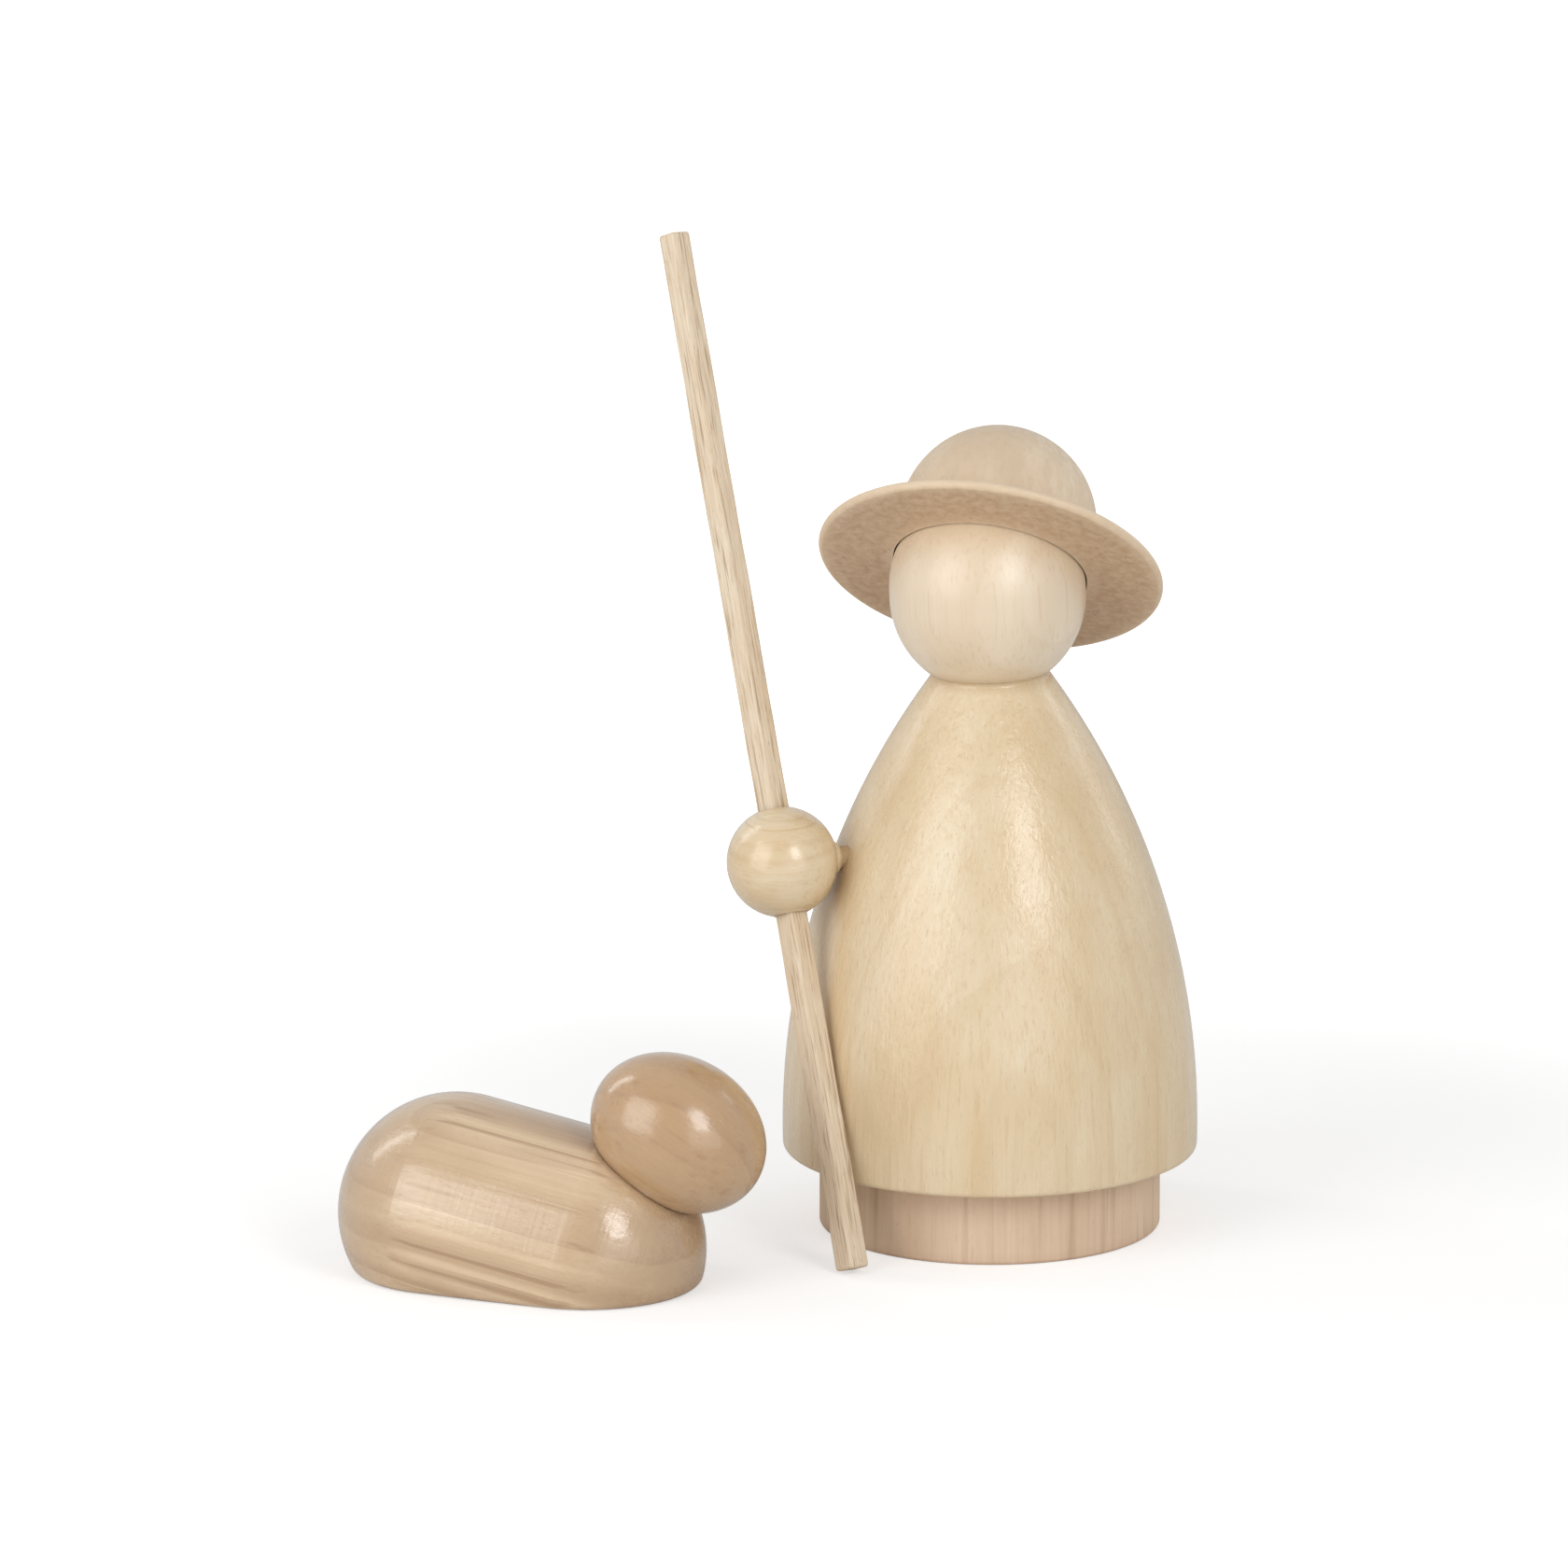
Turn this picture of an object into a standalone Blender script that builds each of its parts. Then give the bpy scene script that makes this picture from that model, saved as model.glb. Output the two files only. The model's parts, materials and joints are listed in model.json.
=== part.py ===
# Turned wooden shepherd with a staff in its ball hand, and a lying sheep that stands beside it.
# Metres, +Z up, +X to the viewer's right, -Y towards the viewer.
# The origin is the centre of the plinth's underside, on the table.

import math

import bmesh
import bpy
from mathutils import Matrix, Vector

# Fits that every joint shares
GLUE_GAP = 0.0003
DOWEL_CLEARANCE = 0.0002
DOWEL_END_GAP = 0.0004

# Plinth, a plain disc under the cloak
PLINTH_RADIUS = 0.0153
PLINTH_HEIGHT = 0.00675
PLINTH_EDGE = 0.0003
PLINTH_DOWEL_RADIUS = 0.003
PLINTH_DOWEL_LENGTH = 0.0095

# Cloak, a bell turned to one long arc from its widest place up to the neck
CLOAK_RADIUS = 0.01865
CLOAK_HEIGHT = 0.04345
CLOAK_WIDEST_AT = 0.0022
HEM_ROUNDING = 0.00045
NECK_RADIUS = 0.0053
NECK_LAND = 0.0003

# Head, a ball drawn out a little along its own line, which leans to the viewer's left
HEAD_RADIUS = 0.00875
HEAD_STRETCH = 0.0008
HEAD_LEAN = math.radians(3)
NECK_DOWEL_RADIUS = 0.002
NECK_DOWEL_LENGTH = 0.011

# Hat, hollowed to fit the head, tipped back and over to the viewer's right
HAT_TIP_BACK = math.radians(39.5)
HAT_ROLL = math.radians(8.8)
BRIM_ABOVE_HEAD_CENTRE = 0.00164
BRIM_WIDTH = 0.0066
BRIM_THICKNESS = 0.0009
BRIM_ROOT_FILLET = 0.0008
CROWN_WALL = 0.00216
CROWN_SHOULDER = 0.0044
CROWN_TOP_THICKNESS = 0.0061

# Hand, a drilled ball against the cloak's side, on a level pin that shows between the two
BEAD_RADIUS = 0.0049
HAND_HEIGHT = 0.0347
HAND_TURN_FORWARD = math.radians(18.3)
HAND_DOWEL_RADIUS = 0.001
HAND_DOWEL_IN_CLOAK = 0.004
HAND_DOWEL_WEB = 0.0005

# Staff, a square stick that stands on the table, a corner to the viewer, and slides in the hand's bore
STAFF_SIDE = 0.0021
STAFF_ROUNDING = 0.0003
STAFF_LENGTH = 0.094
STAFF_SIDE_LEAN = math.radians(10.35)
STAFF_TURN = math.radians(45)
STAFF_BORE_CLEARANCE = 0.0002
STAFF_OFF_CLOAK = 0.0002

# Sheep's body, a round-ended bar with a flat sawn at a slant to its length
SHEEP_FROM_CLOAK = 0.02305
SHEEP_FORWARD = 0.0182
SHEEP_HEADING = math.radians(18)
SHEEP_RADIUS = 0.0106
SHEEP_BARREL = 0.0124
SHEEP_SLOPE = math.radians(10.9)
SHEEP_AXIS_HEIGHT = 0.0042

# Sheep's head, an egg let into the body's front
SHEEP_HEAD_RADIUS = 0.0067
SHEEP_HEAD_LENGTH = 0.0163
SHEEP_HEAD_RISE = math.radians(52.7)
SHEEP_HEAD_DIP = math.radians(31.4)
SHEEP_HEAD_TURN = math.radians(10)
SHEEP_SEAT_DEPTH = 0.0032
SHEEP_DOWEL_RADIUS = 0.0015
SHEEP_DOWEL_LENGTH = 0.008

# Facets round each turned piece, and steps along its arcs
LARGE_TURNING = 48
SMALL_TURNING = 32
DOWEL_TURNING = 16
ARC_STEPS = 12
HEM_STEPS = 4
RIM_STEPS = 6
FILLET_STEPS = 3
STAFF_EDGE_STEPS = 3
MERGE_DISTANCE = 1e-7
SMOOTH_BELOW = math.radians(35)

# How the staff's lean is searched for
STEEPEST_LEAN = math.radians(60)
LEAN_HALVINGS = 40
HEIGHTS_CHECKED = 60

Y_AXIS = Vector((0, 1, 0))
Z_AXIS = Vector((0, 0, 1))


def clear_scene():
    for obj in list(bpy.data.objects):
        bpy.data.objects.remove(obj, do_unlink=True)


def wood(name, colour, roughness):
    material = bpy.data.materials.new(name)
    material.use_nodes = True
    shader = material.node_tree.nodes["Principled BSDF"]
    shader.inputs["Base Color"].default_value = (*colour, 1)
    shader.inputs["Roughness"].default_value = roughness
    shader.inputs["Metallic"].default_value = 0
    material.diffuse_color = (*colour, 1)
    return material


def arc(centre, radii, start, stop, steps):
    """Points (radius, height) on an arc, with angles in degrees; radii is one value or two half-axes."""
    across, along = radii if isinstance(radii, tuple) else (radii, radii)
    angles = [math.radians(start + (stop - start) * step / steps) for step in range(steps + 1)]
    return [
        (centre[0] + across * math.cos(angle), centre[1] + along * math.sin(angle))
        for angle in angles
    ]


def add_object(name, mesh, material, place=None):
    obj = bpy.data.objects.new(name, mesh)
    bpy.context.scene.collection.objects.link(obj)
    if material:
        mesh.materials.append(material)
    if place:
        obj.matrix_world = place
    return obj


def finish_mesh(name, bm):
    bmesh.ops.remove_doubles(bm, verts=bm.verts, dist=MERGE_DISTANCE)
    bmesh.ops.recalc_face_normals(bm, faces=bm.faces)
    mesh = bpy.data.meshes.new(name)
    bm.to_mesh(mesh)
    bm.free()
    mesh.shade_smooth()
    mesh.set_sharp_from_angle(angle=SMOOTH_BELOW)
    return mesh


def turned(name, outline, facets, material=None, place=None):
    """A solid of revolution about Z from an outline that starts and ends on the axis."""
    bm = bmesh.new()
    corners = [bm.verts.new((radius, 0, height)) for radius, height in outline]
    edges = [bm.edges.new(pair) for pair in zip(corners, corners[1:])]
    bmesh.ops.spin(
        bm,
        geom=corners + edges,
        cent=(0, 0, 0),
        axis=Z_AXIS,
        angle=2 * math.pi,
        steps=facets,
        use_merge=True,
    )
    return add_object(name, finish_mesh(name, bm), material, place)


def cylinder_outline(radius, low, high):
    return [(0, low), (radius, low), (radius, high), (0, high)]


def cut(obj, cutter):
    cutter.hide_render = True
    cutter.display_type = "WIRE"
    modifier = obj.modifiers.new(cutter.name, "BOOLEAN")
    modifier.operation = "DIFFERENCE"
    modifier.solver = "EXACT"
    modifier.object = cutter


def pointing(direction, at):
    """A frame at a point, with its Z along the direction."""
    return Matrix.Translation(at) @ direction.to_track_quat("Z", "Y").to_matrix().to_4x4()


def dowel(name, frame, radius, low, high, material, holes_in):
    """A plain pin along a frame's Z, with a blind hole for it in each piece that it joins."""
    turned(name, cylinder_outline(radius, low, high), DOWEL_TURNING, material, frame)
    hole_outline = cylinder_outline(
        radius + DOWEL_CLEARANCE, low - DOWEL_END_GAP, high + DOWEL_END_GAP
    )
    for piece in holes_in:
        cut(piece, turned(f"{name}_hole_in_{piece.name}", hole_outline, DOWEL_TURNING, place=frame))


# Heights and the cloak's arc, worked out from the sizes above
HEM_HEIGHT = PLINTH_HEIGHT + GLUE_GAP
NECK_HEIGHT = HEM_HEIGHT + CLOAK_HEIGHT
WIDEST_HEIGHT = HEM_HEIGHT + CLOAK_WIDEST_AT
ARC_DEPTH = CLOAK_RADIUS - NECK_RADIUS
ARC_RISE = NECK_HEIGHT - WIDEST_HEIGHT
CLOAK_ARC_RADIUS = (ARC_DEPTH**2 + ARC_RISE**2) / (2 * ARC_DEPTH)
CLOAK_ARC_CENTRE = (CLOAK_RADIUS - CLOAK_ARC_RADIUS, WIDEST_HEIGHT)


def cloak_radius_at(height):
    """The cloak's outer radius at a height above the table, and 0 where there is no cloak."""
    if not HEM_HEIGHT <= height <= NECK_HEIGHT:
        return 0
    rise = height - CLOAK_ARC_CENTRE[1]
    return CLOAK_ARC_CENTRE[0] + math.sqrt(CLOAK_ARC_RADIUS**2 - rise**2)


def make_plinth(material):
    outline = [
        (0, 0),
        (PLINTH_RADIUS - PLINTH_EDGE, 0),
        (PLINTH_RADIUS, PLINTH_EDGE),
        (PLINTH_RADIUS, PLINTH_HEIGHT - PLINTH_EDGE),
        (PLINTH_RADIUS - PLINTH_EDGE, PLINTH_HEIGHT),
        (0, PLINTH_HEIGHT),
    ]
    return turned("plinth", outline, LARGE_TURNING, material)


def make_cloak(material):
    hem_radius = cloak_radius_at(HEM_HEIGHT + HEM_ROUNDING)
    hem_centre = (hem_radius - HEM_ROUNDING, HEM_HEIGHT + HEM_ROUNDING)
    hem = arc(hem_centre, HEM_ROUNDING, -90, 0, HEM_STEPS)
    first = math.degrees(math.asin((hem_centre[1] - CLOAK_ARC_CENTRE[1]) / CLOAK_ARC_RADIUS))
    last = math.degrees(math.asin(ARC_RISE / CLOAK_ARC_RADIUS))
    side = arc(CLOAK_ARC_CENTRE, CLOAK_ARC_RADIUS, first, last, ARC_STEPS)
    outline = [(0, HEM_HEIGHT), *hem, *side[1:], (0, NECK_HEIGHT)]
    return turned("cloak_body", outline, LARGE_TURNING, material)


def head_outline(radius):
    """The head's half outline about its lower ball's centre."""
    low_half = arc((0, 0), radius, -90, 0, ARC_STEPS // 2)
    high_half = arc((0, HEAD_STRETCH), radius, 0, 90, ARC_STEPS // 2)
    return low_half + high_half


def head_frame():
    """The head's lower ball centre, where the ball rests on the neck's land, with Z along the head."""
    seat_radius = NECK_RADIUS - NECK_LAND
    up_head = Matrix.Rotation(-HEAD_LEAN, 3, "Y") @ Z_AXIS
    above_neck = math.sqrt(HEAD_RADIUS**2 - seat_radius**2)
    return pointing(up_head, Vector((0, 0, NECK_HEIGHT)) + up_head * above_neck)


def make_head(material, cloak):
    frame = head_frame()
    head = turned("head", head_outline(HEAD_RADIUS), LARGE_TURNING, material, frame)
    seat_outline = head_outline(HEAD_RADIUS + GLUE_GAP)
    cut(cloak, turned("head_seat", seat_outline, LARGE_TURNING, place=frame))
    middle = -HEAD_RADIUS
    low = middle - NECK_DOWEL_LENGTH / 2
    high = middle + NECK_DOWEL_LENGTH / 2
    dowel("neck_dowel", frame, NECK_DOWEL_RADIUS, low, high, material, [cloak, head])
    return head


def hat_direction():
    return Vector(
        (
            math.sin(HAT_ROLL),
            math.sin(HAT_TIP_BACK) * math.cos(HAT_ROLL),
            math.cos(HAT_TIP_BACK) * math.cos(HAT_ROLL),
        )
    )


def make_hat(material):
    """The hat about the head's upper ball centre: flat brim, domed crown, and hollowed to the head."""
    hollow = HEAD_RADIUS + GLUE_GAP
    brim_low = BRIM_ABOVE_HEAD_CENTRE
    brim_high = brim_low + BRIM_THICKNESS
    shoulder = brim_low + CROWN_SHOULDER
    crown = math.sqrt(hollow**2 - shoulder**2) + CROWN_WALL
    crown_top = hollow + CROWN_TOP_THICKNESS
    rim = BRIM_THICKNESS / 2
    rim_centre = (crown + BRIM_WIDTH - rim, brim_low + rim)
    fillet_centre = (crown + BRIM_ROOT_FILLET, brim_high + BRIM_ROOT_FILLET)
    outline = [(0, brim_low)]
    outline += arc(rim_centre, rim, -90, 90, RIM_STEPS)
    outline += arc(fillet_centre, BRIM_ROOT_FILLET, 270, 180, FILLET_STEPS)
    outline += arc((0, shoulder), (crown, crown_top - shoulder), 0, 90, ARC_STEPS)
    upper_centre = head_frame() @ Vector((0, 0, HEAD_STRETCH))
    frame = pointing(hat_direction(), upper_centre)
    hat = turned("hat", outline, LARGE_TURNING, material, frame)
    cut(hat, turned("hat_hollow", head_outline(hollow), LARGE_TURNING, place=head_frame()))
    return hat


def bead_centre():
    """The hand's centre at its height, where the ball clears the cloak's arc by the glue gap."""
    reach = CLOAK_ARC_RADIUS + BEAD_RADIUS + GLUE_GAP
    rise = HAND_HEIGHT - CLOAK_ARC_CENTRE[1]
    distance = CLOAK_ARC_CENTRE[0] + math.sqrt(reach**2 - rise**2)
    across = -math.cos(HAND_TURN_FORWARD) * distance
    forward = -math.sin(HAND_TURN_FORWARD) * distance
    return Vector((across, forward, HAND_HEIGHT))


def staff_frame_at(back_lean):
    """The staff's frame at a lean: from the hand's centre, Z up the stick and X square to a face."""
    up_stick = Vector((-math.tan(STAFF_SIDE_LEAN), math.tan(back_lean), 1)).normalized()
    across = Y_AXIS.cross(up_stick).normalized()
    facing_viewer = Matrix((across, up_stick.cross(across), up_stick)).transposed().to_4x4()
    turn = Matrix.Rotation(STAFF_TURN, 4, "Z")
    return Matrix.Translation(bead_centre()) @ facing_viewer @ turn


def staff_half_diagonal():
    return STAFF_SIDE / math.sqrt(2) - STAFF_ROUNDING * (math.sqrt(2) - 1)


def clears_cloak(back_lean):
    """Whether a staff through the hand clears the cloak all the way down to the table."""
    frame = staff_frame_at(back_lean)
    centre = frame.translation
    across, through, up_stick = (frame.col[axis].to_3d() for axis in range(3))
    for step in range(HEIGHTS_CHECKED + 1):
        height = centre.z * step / HEIGHTS_CHECKED
        point = centre + up_stick * (height - centre.z) / up_stick.z
        outward = Vector((point.x, point.y, 0)).normalized()
        half_thickness = STAFF_SIDE / 2 * (abs(outward.dot(across)) + abs(outward.dot(through)))
        free = math.hypot(point.x, point.y) - cloak_radius_at(height) - half_thickness
        if free < STAFF_OFF_CLOAK:
            return False
    return True


def staff_back_lean():
    """The least backward lean that keeps the staff's foot in front of the cloak, found by halving."""
    too_small = 0.0
    enough = STEEPEST_LEAN
    for _ in range(LEAN_HALVINGS):
        middle = (too_small + enough) / 2
        if clears_cloak(middle):
            enough = middle
        else:
            too_small = middle
    return enough


def staff_frame():
    return staff_frame_at(staff_back_lean())


def make_staff(material):
    frame = staff_frame()
    half = STAFF_SIDE / 2
    lowest_corner = half * (abs(frame.col[0].z) + abs(frame.col[1].z))
    foot = (lowest_corner - HAND_HEIGHT) / frame.col[2].z
    bm = bmesh.new()
    size = Matrix.Diagonal((STAFF_SIDE, STAFF_SIDE, STAFF_LENGTH, 1))
    middle = Matrix.Translation((0, 0, foot + STAFF_LENGTH / 2))
    bmesh.ops.create_cube(bm, size=1, matrix=middle @ size)
    long_edges = [edge for edge in bm.edges if abs(edge.verts[0].co.z - edge.verts[1].co.z) > half]
    bmesh.ops.bevel(
        bm,
        geom=long_edges,
        offset=STAFF_ROUNDING,
        segments=STAFF_EDGE_STEPS,
        profile=0.5,
        affect="EDGES",
    )
    return add_object("staff", finish_mesh("staff", bm), material, frame)


def make_hand(material, cloak):
    """The drilled ball, and the level pin that holds it to the cloak."""
    frame = staff_frame()
    bore = staff_half_diagonal() + STAFF_BORE_CLEARANCE
    lip = math.degrees(math.acos(bore / BEAD_RADIUS))
    outline = arc((0, 0), BEAD_RADIUS, -lip, lip, ARC_STEPS)
    bead = turned("hand_bead", [*outline, outline[0]], SMALL_TURNING, material, frame)
    centre = bead_centre()
    inward = Vector((-centre.x, -centre.y, 0))
    cloak_reached_at = inward.length - cloak_radius_at(HAND_HEIGHT)
    bore_room = bore / math.sin(inward.angle(frame.to_3x3().col[2]))
    low = bore_room + HAND_DOWEL_WEB + DOWEL_END_GAP
    high = cloak_reached_at + HAND_DOWEL_IN_CLOAK
    pin_frame = pointing(inward.normalized(), centre)
    dowel("hand_dowel", pin_frame, HAND_DOWEL_RADIUS, low, high, material, [cloak, bead])
    return bead


def sheep_frame():
    """The sheep's place on the table, with its X along the body towards the head."""
    across = -(CLOAK_RADIUS + SHEEP_FROM_CLOAK)
    return Matrix.Translation((across, -SHEEP_FORWARD, 0)) @ Matrix.Rotation(-SHEEP_HEADING, 4, "Z")


def sheep_axis():
    """The body's own axis in the sheep's frame, and the centre of its front dome."""
    along = Vector((math.cos(SHEEP_SLOPE), 0, -math.sin(SHEEP_SLOPE)))
    front = Vector((0, 0, SHEEP_AXIS_HEIGHT)) + along * SHEEP_BARREL / 2
    return along, front


def make_sheep_body(material, parent):
    along, front = sheep_axis()
    outline = arc((0, -SHEEP_BARREL), SHEEP_RADIUS, -90, 0, ARC_STEPS)
    outline += arc((0, 0), SHEEP_RADIUS, 0, 90, ARC_STEPS)
    body = turned("sheep_body", outline, LARGE_TURNING, material)
    body.data.transform(pointing(along, front))
    bm = bmesh.new()
    bm.from_mesh(body.data)
    parts = bm.verts[:] + bm.edges[:] + bm.faces[:]
    sawn = bmesh.ops.bisect_plane(
        bm, geom=parts, plane_co=(0, 0, 0), plane_no=Z_AXIS, clear_inner=True
    )
    rim = [part for part in sawn["geom_cut"] if isinstance(part, bmesh.types.BMEdge)]
    bmesh.ops.contextual_create(bm, geom=rim)
    bmesh.ops.recalc_face_normals(bm, faces=bm.faces)
    bm.to_mesh(body.data)
    bm.free()
    body.data.set_sharp_from_angle(angle=SMOOTH_BELOW)
    body.parent = parent
    return body


def egg_outline(grown_by):
    half_axes = (SHEEP_HEAD_RADIUS + grown_by, SHEEP_HEAD_LENGTH / 2 + grown_by)
    return arc((0, 0), half_axes, -90, 90, ARC_STEPS)


def make_sheep_head(material, body, parent):
    front = sheep_axis()[1]
    towards_head = Vector((math.cos(SHEEP_HEAD_RISE), 0, math.sin(SHEEP_HEAD_RISE)))
    reach = SHEEP_RADIUS + SHEEP_HEAD_RADIUS - SHEEP_SEAT_DEPTH
    egg_axis = Vector(
        (
            math.cos(SHEEP_HEAD_TURN) * math.cos(SHEEP_HEAD_DIP),
            math.sin(SHEEP_HEAD_TURN) * math.cos(SHEEP_HEAD_DIP),
            -math.sin(SHEEP_HEAD_DIP),
        )
    )
    centre = front + towards_head * reach
    frame = sheep_frame() @ pointing(egg_axis, centre)
    head = turned("sheep_head", egg_outline(0), LARGE_TURNING, material, frame)
    cut(body, turned("sheep_head_seat", egg_outline(GLUE_GAP), LARGE_TURNING, place=frame))
    pin_frame = sheep_frame() @ pointing(towards_head, front)
    middle = SHEEP_RADIUS - SHEEP_SEAT_DEPTH
    low = middle - SHEEP_DOWEL_LENGTH / 2
    high = middle + SHEEP_DOWEL_LENGTH / 2
    pieces = [body, head]
    dowel("sheep_neck_dowel", pin_frame, SHEEP_DOWEL_RADIUS, low, high, material, pieces)
    for name in ("sheep_head", "sheep_neck_dowel"):
        keep_place_under(bpy.data.objects[name], parent)


def keep_place_under(obj, parent):
    place = obj.matrix_world.copy()
    obj.parent = parent
    obj.matrix_parent_inverse = parent.matrix_world.inverted()
    obj.matrix_world = place


def add_empty(name, place):
    empty = bpy.data.objects.new(name, None)
    bpy.context.scene.collection.objects.link(empty)
    empty.matrix_world = place
    return empty


def main():
    clear_scene()
    plinth_wood = wood("plinth_wood", (0.52, 0.36, 0.26), 0.6)
    pale_wood = wood("pale_wood", (0.74, 0.60, 0.42), 0.4)
    hat_wood = wood("hat_wood", (0.60, 0.44, 0.29), 0.5)
    staff_wood = wood("staff_wood", (0.72, 0.58, 0.42), 0.5)
    sheep_wood = wood("sheep_wood", (0.62, 0.46, 0.31), 0.35)
    sheep_head_wood = wood("sheep_head_wood", (0.50, 0.33, 0.20), 0.3)

    plinth = make_plinth(plinth_wood)
    cloak = make_cloak(pale_wood)
    dowel(
        "plinth_dowel",
        Matrix.Translation((0, 0, PLINTH_HEIGHT)),
        PLINTH_DOWEL_RADIUS,
        -PLINTH_DOWEL_LENGTH / 2,
        PLINTH_DOWEL_LENGTH / 2,
        pale_wood,
        [plinth, cloak],
    )
    make_head(pale_wood, cloak)
    make_hat(hat_wood)
    make_hand(pale_wood, cloak)
    make_staff(staff_wood)

    sheep_place = add_empty("sheep_place", sheep_frame())
    bpy.context.view_layer.update()
    sheep_body = make_sheep_body(sheep_wood, sheep_place)
    make_sheep_head(sheep_head_wood, sheep_body, sheep_place)


main()
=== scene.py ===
import json
import math

import bmesh
import bpy
from mathutils import Matrix, Vector, noise


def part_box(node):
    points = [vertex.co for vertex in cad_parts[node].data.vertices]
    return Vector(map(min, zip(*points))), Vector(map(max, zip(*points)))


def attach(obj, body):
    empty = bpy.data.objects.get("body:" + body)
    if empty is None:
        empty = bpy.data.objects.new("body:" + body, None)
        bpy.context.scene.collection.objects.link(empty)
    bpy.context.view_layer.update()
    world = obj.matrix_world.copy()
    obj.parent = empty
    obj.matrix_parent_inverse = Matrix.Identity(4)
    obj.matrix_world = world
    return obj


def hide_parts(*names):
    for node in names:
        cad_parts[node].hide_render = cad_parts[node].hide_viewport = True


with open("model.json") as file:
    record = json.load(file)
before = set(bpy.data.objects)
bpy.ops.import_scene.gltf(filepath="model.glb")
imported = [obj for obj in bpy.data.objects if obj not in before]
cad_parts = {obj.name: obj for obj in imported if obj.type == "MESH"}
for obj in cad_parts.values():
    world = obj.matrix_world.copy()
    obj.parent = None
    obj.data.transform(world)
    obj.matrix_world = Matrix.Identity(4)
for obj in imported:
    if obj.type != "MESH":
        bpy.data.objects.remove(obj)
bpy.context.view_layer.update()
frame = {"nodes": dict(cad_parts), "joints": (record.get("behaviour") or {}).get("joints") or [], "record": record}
print("frame loaded:", len(frame["nodes"]), "nodes")

up = Vector((0, 0, 1))
millimetre = 0.001


# Small helpers for building node trees

def addNode(tree, kind, values=None, **settings):
    node = tree.nodes.new(kind)
    for key, value in settings.items():
        setattr(node, key, value)
    for socket, value in (values or {}).items():
        feed(tree, node.inputs[socket], value)
    return node


def feed(tree, socket, value):
    # a socket is linked, anything else is set as the input's own value
    if isinstance(value, bpy.types.NodeSocket):
        tree.links.new(value, socket)
    else:
        socket.default_value = value


def calc(tree, operation, *values):
    return addNode(tree, "ShaderNodeMath", dict(enumerate(values)), operation=operation).outputs[0]


def calcVector(tree, operation, *values):
    node = addNode(tree, "ShaderNodeVectorMath", dict(enumerate(values)), operation=operation)
    return node.outputs["Value" if operation == "LENGTH" else "Vector"]


def ease(tree, value, low, high):
    # 0 below low, 1 above high, smooth between them
    sockets = {"Value": value, "From Min": low, "From Max": high}
    return addNode(tree, "ShaderNodeMapRange", sockets, interpolation_type="SMOOTHSTEP").outputs[0]


def mottle(tree, position, detail, roughness=0.5):
    sockets = {"Vector": position, "Scale": 1, "Detail": detail, "Roughness": roughness}
    return addNode(tree, "ShaderNodeTexNoise", sockets)


def lineNoise(tree, along, detail=0):
    sockets = {"W": along, "Scale": 1, "Detail": detail}
    return addNode(tree, "ShaderNodeTexNoise", sockets, noise_dimensions="1D").outputs[0]


def joined(tree, width, length):
    return addNode(tree, "ShaderNodeCombineXYZ", {"X": width, "Y": width, "Z": length}).outputs[0]


def tint(tree, share, under, over):
    # a Mix node repeats its sockets' names, so the ones for colours are picked by number
    factor, first, second, result = 0, 6, 7, 2
    sockets = {factor: share, first: under, second: over}
    return addNode(tree, "ShaderNodeMix", sockets, data_type="RGBA").outputs[result]


def newGroup(name, inputs, outputs):
    tree = bpy.data.node_groups.new(name, "ShaderNodeTree")
    for label, kind, start in inputs:
        socket = tree.interface.new_socket(name=label, in_out="INPUT", socket_type="NodeSocket" + kind)
        if start is not None:
            socket.default_value = start
    for label, kind in outputs:
        tree.interface.new_socket(name=label, in_out="OUTPUT", socket_type="NodeSocket" + kind)
    entry = tree.nodes.new("NodeGroupInput")
    leave = tree.nodes.new("NodeGroupOutput")
    return tree, entry.outputs, leave.inputs


# Shader groups that every wood shares; positions in them are millimetres, with Z along the grain

# Sizes are per millimetre, across and along the grain. A pick is where a mark starts and where it is full.
grainForm = {
    "bendSize": (0.06, 0.06, 0.018),  # of the slow noise that bends the rings
    "bendReach": (4, 4, 0),
    "widthPace": 0.45,  # how soon the rings' width changes, per ring
    "widthChange": 2.4,  # and by how many rings
    "ringEnd": 0.93,  # where in a ring its dark part ends
    "ringStep": 3.7,  # from ring to ring in the noise that makes some of them faint
    "ringPick": (0.25, 0.7),
    "fibrePick": (0.3, 0.7),
    "fibreRoughness": 0.6,
    "streakPick": (0.52, 0.72),
    "streakRoughness": 0.65,
    "cloudSize": (0.16, 0.16, 0.055),
    "cloudPick": (0.3, 0.72),
    "poreSize": (5.5, 5.5, 0.9),
    "porePick": (0.64, 0.78),
}


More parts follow.
